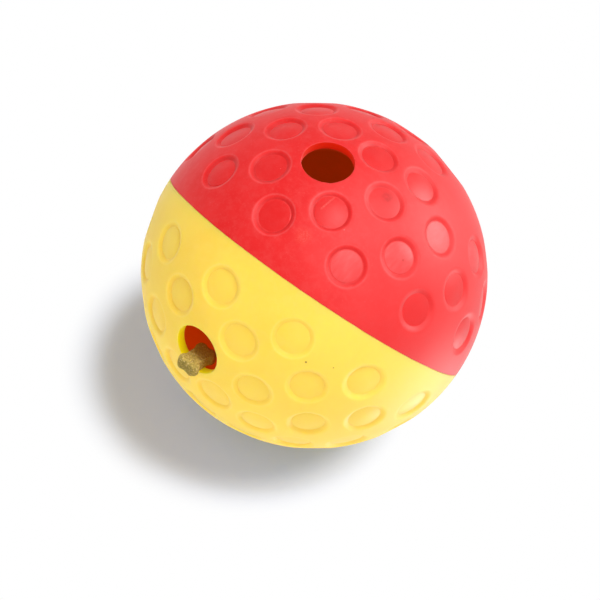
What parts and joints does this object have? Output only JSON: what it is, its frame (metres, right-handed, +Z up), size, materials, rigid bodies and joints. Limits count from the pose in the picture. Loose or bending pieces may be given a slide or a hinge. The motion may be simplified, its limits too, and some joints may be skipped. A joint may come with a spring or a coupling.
{
  "type": "treat dispensing ball",
  "caption": "Hollow dimpled rubber ball with a fill hole, a labyrinth plate inside and a treat hole that lets a treat slide out as the ball rolls.",
  "frame": {"origin": "the centre of the ball", "axes": "+Z up the axis of the fill hole; the seam's plane leans 49.5 degrees from level and rises towards the front; the treat hole faces -Y, 9 degrees above level; +X to the right seen from the front"},
  "size_m": [0.133, 0.1386, 0.1318],
  "materials": {
    "red_rubber": "soft matte moulded rubber",
    "yellow_rubber": "soft matte moulded rubber",
    "red_plastic": "matte moulded plastic",
    "treat_biscuit": "grainy baked biscuit"
  },
  "bodies": {
    "ball": {"red_outer_shell": "red_rubber", "yellow_outer_shell": "yellow_rubber", "inner_shell_upper": "red_plastic", "inner_shell_lower": "red_plastic", "labyrinth_plate": "red_plastic"},
    "treat": {"treat": "treat_biscuit"}
  },
  "joints": [
    {"name": "treat_slide", "type": "slide", "parent": "ball", "child": "treat", "axis": [-0.0159, -0.9876, 0.1563], "range_m": [-0.011, 0.011]}
  ]
}
